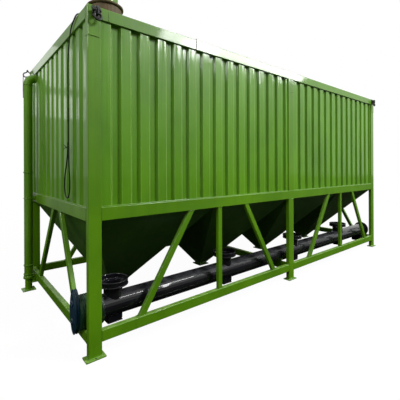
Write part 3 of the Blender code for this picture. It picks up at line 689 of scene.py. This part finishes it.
def makeCupTrim():
    # Rolled rim and inner ring of each cup, the weld at its foot, and the cover plate of the box below.
    y, cup = screwSet["y"], screwSet["cup"]
    rim = turned([(cup - 0.0065, -0.006), (cup + 0.002, -0.006), (cup + 0.0045, -0.002),
                  (cup + 0.0045, 0.002), (cup + 0.001, 0.005), (cup - 0.005, 0.005),
                  (cup - 0.0080, 0.001)], 48, closed=True)
    ring = turned([(0.084, -0.001), (0.095, -0.001), (0.095, 0.014), (0.093, 0.0165),
                   (0.086, 0.0165), (0.084, 0.014)], 40, closed=True)
    foot = turned([(cup - 0.006, -0.004), (cup + 0.0025, -0.004), (cup + 0.0045, 0.001),
                   (cup + 0.0025, 0.006), (cup - 0.006, 0.006)], 48, closed=True)
    plate = oblong(0.077, 0.063, 0.012)
    rows = [np.concatenate([plate * grow, np.full((len(plate), 1), z)], 1)
            for grow, z in ((0.98, -0.0055), (1.0, -0.0045), (1.0, 0.0), (0.98, 0.001))]
    cover = layered(rows)
    shapes = []
    for x in screwSet["inlets"]:
        shapes += [placed(rim, (x, y, screwSet["cupTop"])), placed(ring, (x, y, screwSet["cupFloor"])),
                   placed(foot, (x, y, screwSet["cupFloor"] - 0.006)),
                   placed(cover, (x, y, screwSet["boxFoot"]))]
    return makeDetail("cupTrim", shapes, "black_paint")


def makeOutletBolts():
    shapes = []
    for x in hopperSet["outlets"]:
        spots = [(x + dx, dy, hopperSet["flange"]) for dy in (-0.082, 0.082) for dx in (-0.078, 0.0, 0.078)]
        spots += [(x + dx, 0.0, hopperSet["flange"]) for dx in (-0.082, 0.082)]
        shapes.append(repeated(hexBolt(0.72), spots))
    return makeDetail("outletBolts", shapes, "hopper_plate")


def makeAnchorHoleShades():
    # Dark disc on each anchor hole, with a thin raised edge: painted shade standing in for the open mouth of
    # the hole.
    spots = [(x, s * (1.191 + 0.0405 * t), 0.0099) for x in postX for s in (-1, 1)
             for t in (-1, 1)]
    shadeDisc = turned([(0.0085, 0.0), (0.0085, 0.0005), (0.0078, 0.0006)], 20)
    return makeDetail("anchorHoleShades", [repeated(shadeDisc, spots)], "cable_rubber")


makeConveyorBolts()
makeCupTrim()
makeOutletBolts()
makeAnchorHoleShades()
print("bolts made")


# screw flight, seen through the inlets and the spout
flightSet = {"inner": 0.029, "outer": 0.094, "pitch": 0.180, "thick": 0.004, "start": -2.845, "end": 2.915}


def makeFlight():
    # Strip wound on the shaft: x grows evenly with the angle, radius runs from shaft to rim.
    turns = (flightSet["end"] - flightSet["start"]) / flightSet["pitch"]
    angle = np.linspace(0, 2 * np.pi * turns, int(turns * 22))[:, None]
    radius = np.array([flightSet["inner"], flightSet["outer"], flightSet["outer"], flightSet["inner"]])
    side = np.array([-0.5, -0.5, 0.5, 0.5]) * flightSet["thick"]
    x = flightSet["start"] + angle / (2 * np.pi) * flightSet["pitch"] + side
    points = np.stack([x, screwSet["y"] + radius * np.cos(angle), screwSet["z"] + radius * np.sin(angle)], -1)
    return makeDetail("screwFlight", [layered(points)], "black_paint")


makeFlight()


# drive
driveSet = {"radius": 0.152, "fins": (-3.048, -3.026, -3.004, -2.982, -2.960, -2.938, -2.916, -2.894, -2.872),
            "guardY": 0.090, "guardZ": 0.200, "guardMiddle": 0.370}


def makeHousingFins():
    # Low fins round the gear housing, left open over the rail that it rests on.
    angle = np.radians(np.linspace(-44, 224, 40))
    fins = []
    for x in driveSet["fins"]:
        arc = np.stack([np.full(40, x), screwSet["y"] + driveSet["radius"] * np.cos(angle),
                        screwSet["z"] + driveSet["radius"] * np.sin(angle)], -1)
        fins.append(swept(arc, oblong(0.0022, 0.0065, 0.001, 1)[:, ::-1][::-1], up=(1, 0, 0)))
    plug = turned([(0.020, 0.0), (0.020, 0.010), (0.014, 0.012), (0.014, 0.022), (0.011, 0.025)], 12)
    fins.append(placed(plug, (-2.927, screwSet["y"], screwSet["z"] + 0.150)))
    return makeDetail("housingFins", fins, "dark_green_paint")


def makeGuardTrim():
    # Rolled rim of the belt guard, its boss and its small screws.
    shapes = []
    for x, r in ((-3.090, 0.0045), (-3.066, 0.0055)):
        rim = spotsRound((x, screwSet["y"], driveSet["guardMiddle"]),
                         (driveSet["guardY"], driveSet["guardZ"]), 56, axis=0)
        shapes.append(swept(rim, circle(r, 8), up=(1, 0, 0), closed=True))
    boss = turned([(0.030, -0.004), (0.030, 0.004), (0.026, 0.008), (0.014, 0.008), (0.012, 0.004),
                   (0.004, 0.004)], 28)
    for z in (screwSet["z"] - 0.06, screwSet["z"] + 0.10):
        shapes.append(placed(boss, (-3.102, screwSet["y"], z), towards((-1, 0, 0))))
    spots = spotsRound((-3.0905, screwSet["y"], driveSet["guardMiddle"]), (0.072, 0.172), 8, math.pi / 8,
                       axis=0)
    shapes.append(repeated(hexBolt(0.7), spots, towards((-1, 0, 0))))
    return makeDetail("guardTrim", shapes, "blue_paint")


makeHousingFins()
makeGuardTrim()
print("drive made")


# fill pipe
pipeSet = {"x": -3.110, "y": 0.900, "foot": 0.153, "rings": (0.340, 1.620, 2.830),
           "clips": (1.2625, 0.220), "flange": 2.934}


def makePipeFittings():
    x, y = pipeSet["x"], pipeSet["y"]
    ring = turned([(0.053, -0.009), (0.060, -0.008), (0.0615, 0.0), (0.060, 0.008), (0.053, 0.009)], 32)
    shapes = [placed(ring, (x, y, z)) for z in pipeSet["rings"]]
    coupling = turned([(0.052, 0.0), (0.064, 0.004), (0.064, 0.034), (0.058, 0.040), (0.058, 0.062),
                       (0.053, 0.066)], 32)
    shapes.append(placed(coupling, (x, y, pipeSet["foot"])))
    angle = np.radians(np.linspace(90, 270, 25))
    for z in pipeSet["clips"]:
        bow = np.stack([x + 0.058 * np.cos(angle), y + 0.058 * np.sin(angle), np.full(25, z)], -1)
        bow = np.concatenate([[(x + 0.070, y + 0.058, z)], bow, [(x + 0.070, y - 0.058, z)]])
        shapes.append(swept(bow, circle(0.005, 8)))
    plate = oblong(0.066, 0.050, 0.010)
    rows = [np.stack([np.full(len(plate), depth), y + plate[:, 0] * grow,
                      pipeSet["flange"] + plate[:, 1] * grow], -1)
            for grow, depth in ((0.96, -3.0195), (1.0, -3.0180), (1.0, -3.0140), (1.0, -3.0133))]
    shapes.append(layered(rows))
    return makeDetail("pipeFittings", shapes, "green_paint")


makePipeFittings()
print("pipe made")


# roof filter
ventSet = {"x": -2.722, "y": -0.862, "roof": 3.073, "baseTop": 3.300, "radius": 0.165,
           "bandTop": 3.430, "latch": 3.505, "nut": 3.200}


def makeVentTrim():
    x, y = ventSet["x"], ventSet["y"]
    foot = turned([(0.150, 0.0005), (0.200, 0.0005), (0.200, 0.008), (0.198, 0.009), (0.150, 0.009)], 48,
                  closed=True)
    brim = turned([(0.150, -0.020), (0.172, -0.020), (0.180, -0.014), (0.180, -0.003), (0.172, 0.002),
                   (0.150, 0.002)], 48, closed=True)
    shapes = [placed(foot, (x, y, ventSet["roof"])), placed(brim, (x, y, ventSet["baseTop"])),
              repeated(hexBolt(0.9), spotsRound((x, y, ventSet["roof"] + 0.009), 0.185, 12))]
    nut = turned([(0.019, 0.0), (0.019, 0.010), (0.016, 0.012), (0.016, 0.020)], 6)
    shapes.append(placed(nut, (x - ventSet["radius"] + 0.004, y, ventSet["nut"]), towards((-1, 0, 0))))
    makeDetail("ventBaseTrim", shapes, "brown_paint")
    band = turned([(0.123, -0.012), (0.129, -0.012), (0.132, -0.006), (0.132, 0.006), (0.129, 0.012),
                   (0.123, 0.012)], 48, closed=True)
    shapes = [placed(band, (x, y, z)) for z in (ventSet["baseTop"] + 0.020, ventSet["bandTop"])]
    latch = turned([(0.0, 0.0), (0.009, 0.001), (0.009, 0.060), (0.006, 0.064)], 12)
    shapes.append(repeated(latch, spotsRound((x, y, ventSet["latch"]), 0.139, 4, 0.6)))
    makeDetail("ventDrumTrim", shapes, "green_paint")


makeVentTrim()
print("roof filter made")


# corners
cornerSet = {"low": 2.832, "high": 3.096, "left": 3.0265, "right": 2.925, "thick": 0.004,
             "lugX": 2.953, "lugZ": 3.045, "lugOut": 0.0363, "bar": 0.0100, "lean": -80}


def makeCornerPlates():
    # Doubler plate with a bevelled edge and a weld round its foot and sides.
    halfA, halfB = (cornerSet["left"] - cornerSet["right"]) / 2, (cornerSet["high"] - cornerSet["low"]) / 2
    middle = np.array([(cornerSet["left"] + cornerSet["right"]) / 2,
                       (cornerSet["high"] + cornerSet["low"]) / 2])
    plates = []
    for signX in (-1, 1):
        for signY in (-1, 1):
            rows = []
            for cut, depth in ((0.0, 0.0), (0.0, cornerSet["thick"] - 0.0015), (0.0015, cornerSet["thick"])):
                flat = middle + oblong(halfA - cut, halfB - cut, 0.004, 2)
                rows.append(np.stack([signX * flat[:, 0], np.full(len(flat), signY * (halfWide + depth)),
                                      flat[:, 1]], -1))
            points, faces = layered(rows)
            if signX * signY > 0:
                faces = [f[:, ::-1] for f in faces]
            plates.append((points, faces))
            x = signX * middle[0]
            face = signY * (halfWide + 0.002)
            plates.append(bead([(x - halfA, face, cornerSet["low"]), (x + halfA, face, cornerSet["low"])],
                               radius=0.0035))
            for edge in (-halfA, halfA):
                plates.append(bead([(x + edge, face, cornerSet["low"]), (x + edge, face, 2.99)], up=(0, 1, 0),
                                   radius=0.0025))
    return makeDetail("cornerPlates", plates, "green_paint", sharp=30)


def makeShackles():
    # Bow shackle hanging in each lifting eye, its pin through the eye.
    bar = cornerSet["bar"]
    angle = np.radians(np.linspace(-52, 232, 25))
    bow = np.stack([0.031 * np.cos(angle), np.zeros(25), 0.056 + 0.031 * np.sin(angle)], -1)
    bow = np.concatenate([[(0.0225, 0, 0.0), (0.0225, 0, 0.016)], bow,
                          [(-0.0225, 0, 0.016), (-0.0225, 0, 0.0)]])
    ear = turned([(0.010, -0.008), (0.0165, -0.008), (0.0175, -0.006), (0.0175, 0.006), (0.0165, 0.008),
                  (0.010, 0.008)], 24)
    pin = turned([(0.0095, -0.034), (0.0095, 0.032), (0.0150, 0.032), (0.0150, 0.044), (0.0135, 0.046)], 16)
    swivel = towards((1, 0, 0))
    body = joined([swept(bow, circle(bar, 14), up=(0, 1, 0)), placed(ear, (0.0225, 0, 0), swivel),
                   placed(ear, (-0.0225, 0, 0), swivel), placed(pin, (0, 0, 0), swivel)])
    shapes = []
    for signX in (-1, 1):
        for signY in (-1, 1):
            lean = math.radians(cornerSet["lean"])
            out = np.array([0, signY * math.cos(lean), math.sin(lean)])
            along = np.array([signX, 0, 0])
            turn = np.stack([along, np.cross(out, along), out], 1)
            place = (signX * cornerSet["lugX"], signY * (halfWide + cornerSet["lugOut"]), cornerSet["lugZ"])
            shapes.append(placed(body, place, turn))
    points, faces = joined(shapes)
    for name in ("front_left_lug", "front_right_lug", "back_left_lug", "back_right_lug"):
        frame["nodes"][name].material_slots[0].material = steelPaint
    return makePiece("shackles", (local(points), faces), steelPaint)


hookSet = {"eye": [(-3.030, 1.165, 3.070), (-3.050, 1.188, 3.092), (-3.064, 1.196, 3.118),
                   (-3.072, 1.200, 3.088), (-3.104, 1.216, 3.072), (-3.112, 1.219, 3.040),
                   (-3.090, 1.210, 3.018), (-3.060, 1.196, 3.022), (-3.031, 1.180, 3.030)],
           "tail": [(-3.110, 1.219, 3.056), (-3.114, 1.220, 2.98), (-3.115, 1.220, 2.84),
                    (-3.113, 1.220, 2.71)],
           "eyeRadius": 0.0085, "tailRadius": 0.0045}


def makeCornerHook():
    # Bent rod at the far left corner: an eye that stands out and a straight tail down.
    shapes = [swept(throughPoints(hookSet[part], 5), circle(hookSet[part + "Radius"], 10), up=(0, 1, 0))
              for part in ("eye", "tail")]
    return makeDetail("cornerHook", shapes, "black_paint")


lipSet = {"x": 3.0215, "y": 1.2115, "z": beltTop + 0.0045}


def makeDripLips():
    # Rounded lip along the top of the belt, outside the walls: it shows as a bright line.
    outline = oblong(0.0045, 0.0050, 0.003)
    lips = []
    for sign in (-1, 1):
        for start, end in ((-bayOuter, -bayInner), (bayInner, bayOuter)):
            lips.append(swept([(x, sign * lipSet["y"], lipSet["z"]) for x in (start, end)], outline))
        lips.append(swept([(sign * lipSet["x"], y, lipSet["z"]) for y in (-bayWide, bayWide)], outline))
    return makeDetail("dripLips", lips, "green_paint")


jointSet = {"x": -1.819, "ringX": -1.590, "ringZ": 2.966}


def makeRailJoints():
    # Dark strip where two lengths of the long top rail meet, painted shade standing in for the gap between
    # them, and a small ring that hangs beside it.
    strips = [swept([(jointSet["x"], s * (halfWide + 0.001), railFoot - 0.004),
                     (jointSet["x"], s * (halfWide + 0.001), tallTop + 0.012)],
                    oblong(0.0040, 0.0035, 0.0015, 2), up=(0, 1, 0)) for s in (-1, 1)]
    for s in (-1, 1):
        ring = spotsRound((jointSet["ringX"], s * 1.2100, jointSet["ringZ"]), (0.017, 0.020), 28, axis=1)
        strips.append(swept(ring, circle(0.0034, 8), up=(0, 1, 0), closed=True))
    return makeDetail("railJoints", strips, "black_paint", sharp=50)


makeCornerPlates()
makeShackles()
makeCornerHook()
makeDripLips()
makeRailJoints()
print("corners made")


# floor and light
stageSet = {"floor": (250, 250, 249), "yard": (40, 40, 36), "near": 7.0, "far": 13.0, "veil": 0.97,
            "apron": (150, 150, 140), "apronNear": -4.2, "apronFar": -6.2,
            "skyLow": 0.14, "skyTop": 0.64, "side": 1.2, "back": 0.35}


def mixShaders(tree, factor, first, second, x, y):
    node = nodeIn(tree, "ShaderNodeMixShader", x, y)
    for source, socket in zip((factor, first, second), node.inputs):
        tree.links.new(source, socket)
    return node.outputs[0]


def makeFloor():
    # Pale to the camera, and fading into the white behind; a dark yard to the paint that mirrors it,
    # with a bright strip beyond the left end.
    edge = 60.0
    mesh = bpy.data.meshes.new("yardFloor")
    corners = [(-edge, -edge, -0.002), (edge, -edge, -0.002), (edge, edge, -0.002), (-edge, edge, -0.002)]
    mesh.from_pydata(corners, [], [(0, 1, 2, 3)])
    material = bpy.data.materials.new("paleFloor")
    material.use_nodes = True
    tree = material.node_tree
    tree.nodes.clear()
    pale = nodeIn(tree, "ShaderNodeBsdfDiffuse", -400, 200, Color=linear(*stageSet["floor"]))
    white = nodeIn(tree, "ShaderNodeEmission", -400, 0, Strength=1.0)
    dark = nodeIn(tree, "ShaderNodeBsdfDiffuse", -200, -200)
    coords = nodeIn(tree, "ShaderNodeTexCoord", -1000, 200)
    reach = nodeIn(tree, "ShaderNodeVectorMath", -800, 200, operation="LENGTH")
    tree.links.new(coords.outputs["Object"], reach.inputs[0])
    away = ranged(tree, reach.outputs["Value"], stageSet["near"], stageSet["far"], -600, 300,
                  stageSet["veil"])
    across = nodeIn(tree, "ShaderNodeSeparateXYZ", -800, -200)
    tree.links.new(coords.outputs["Object"], across.inputs[0])
    outer = ranged(tree, across.outputs["X"], stageSet["apronNear"], stageSet["apronFar"], -600, -200)
    yard = mixColour(tree, outer, linear(*stageSet["yard"]), linear(*stageSet["apron"]), -400, -200)
    tree.links.new(yard, dark.inputs["Color"])
    seen = mixShaders(tree, away, pale.outputs[0], white.outputs[0], -200, 100)
    rays = nodeIn(tree, "ShaderNodeLightPath", -200, 400)
    blend = mixShaders(tree, rays.outputs["Is Camera Ray"], dark.outputs[0], seen, 0, 0)
    tree.links.new(blend, nodeIn(tree, "ShaderNodeOutputMaterial", 200, 0).inputs["Surface"])
    mesh.materials.append(material)
    addObject("yardFloor", mesh)


def makeSky():
    # White to the camera; to the paint an open sky, bright above, dim at the horizon, brighter to the right.
    world = bpy.data.worlds.new("softSky")
    world.use_nodes = True
    tree = world.node_tree
    plain = tree.nodes["Background"]
    plain.inputs["Color"].default_value = (1.0, 1.0, 1.0, 1.0)
    plain.inputs["Strength"].default_value = 1.0
    coords = nodeIn(tree, "ShaderNodeTexCoord", -900, -200)
    parts = nodeIn(tree, "ShaderNodeSeparateXYZ", -700, -200)
    tree.links.new(coords.outputs["Generated"], parts.inputs[0])
    height = ranged(tree, parts.outputs["Z"], 0.0, 0.7, -500, -200, stageSet["skyLow"], stageSet["skyTop"])
    side = ranged(tree, parts.outputs["X"], 0.80, 1.0, -500, -500, 0.0, stageSet["side"])
    back = ranged(tree, parts.outputs["Y"], 0.80, 1.0, -500, -800, 0.0, stageSet["back"])
    sky = nodeIn(tree, "ShaderNodeBackground", -100, -200)
    sky.inputs["Color"].default_value = (0.98, 1.0, 0.97, 1.0)
    around = maths(tree, "ADD", side, back, -300, -600)
    tree.links.new(maths(tree, "ADD", height, around, -300, -300), sky.inputs["Strength"])
    rays = nodeIn(tree, "ShaderNodeLightPath", -100, 200)
    blend = mixShaders(tree, rays.outputs["Is Camera Ray"], sky.outputs[0], plain.outputs[0], 100, 0)
    tree.links.new(blend, tree.nodes["World Output"].inputs["Surface"])
    bpy.context.scene.world = world
    bpy.context.scene.view_settings.view_transform = "Standard"


def softLight(name, place, aim, size, power, glossOnly=False):
    data = bpy.data.lights.new(name, "AREA")
    data.shape = "RECTANGLE"
    data.size, data.size_y = size
    data.energy = power
    light = addObject(name, data)
    light.visible_diffuse = not glossOnly
    light.location = place
    turn = towards(np.asarray(place, float) - np.asarray(aim, float))
    light.rotation_euler = Matrix(turn.tolist()).to_euler()


makeFloor()
makeSky()
softLight("keyLight", (5.5, -9.5, 10.5), (0.3, 0.0, 1.4), (4.0, 3.0), 1840)
softLight("skyStrip", (7.0, -8.0, 6.95), (7.0, -1.0, 0.35), (9.5, 1.1), 760, glossOnly=True)
softLight("fillLight", (-10.0, -3.0, 7.0), (-3.0, 0.0, 1.5), (4.0, 3.0), 390)
softLight("highGateLight", (-5.0, 7.8, 5.3), (-3.03, 0.0, 2.8), (1.5, 1.4), 9)
softLight("lowGateLight", (-5.0, 7.8, 3.9), (-3.03, 0.0, 2.2), (1.5, 0.8), 6)
softLight("lampLight", (3.35, -7.3, 6.1), (-1.8, -1.2, 2.95), (1.3, 0.6), 42)
print("stage made")
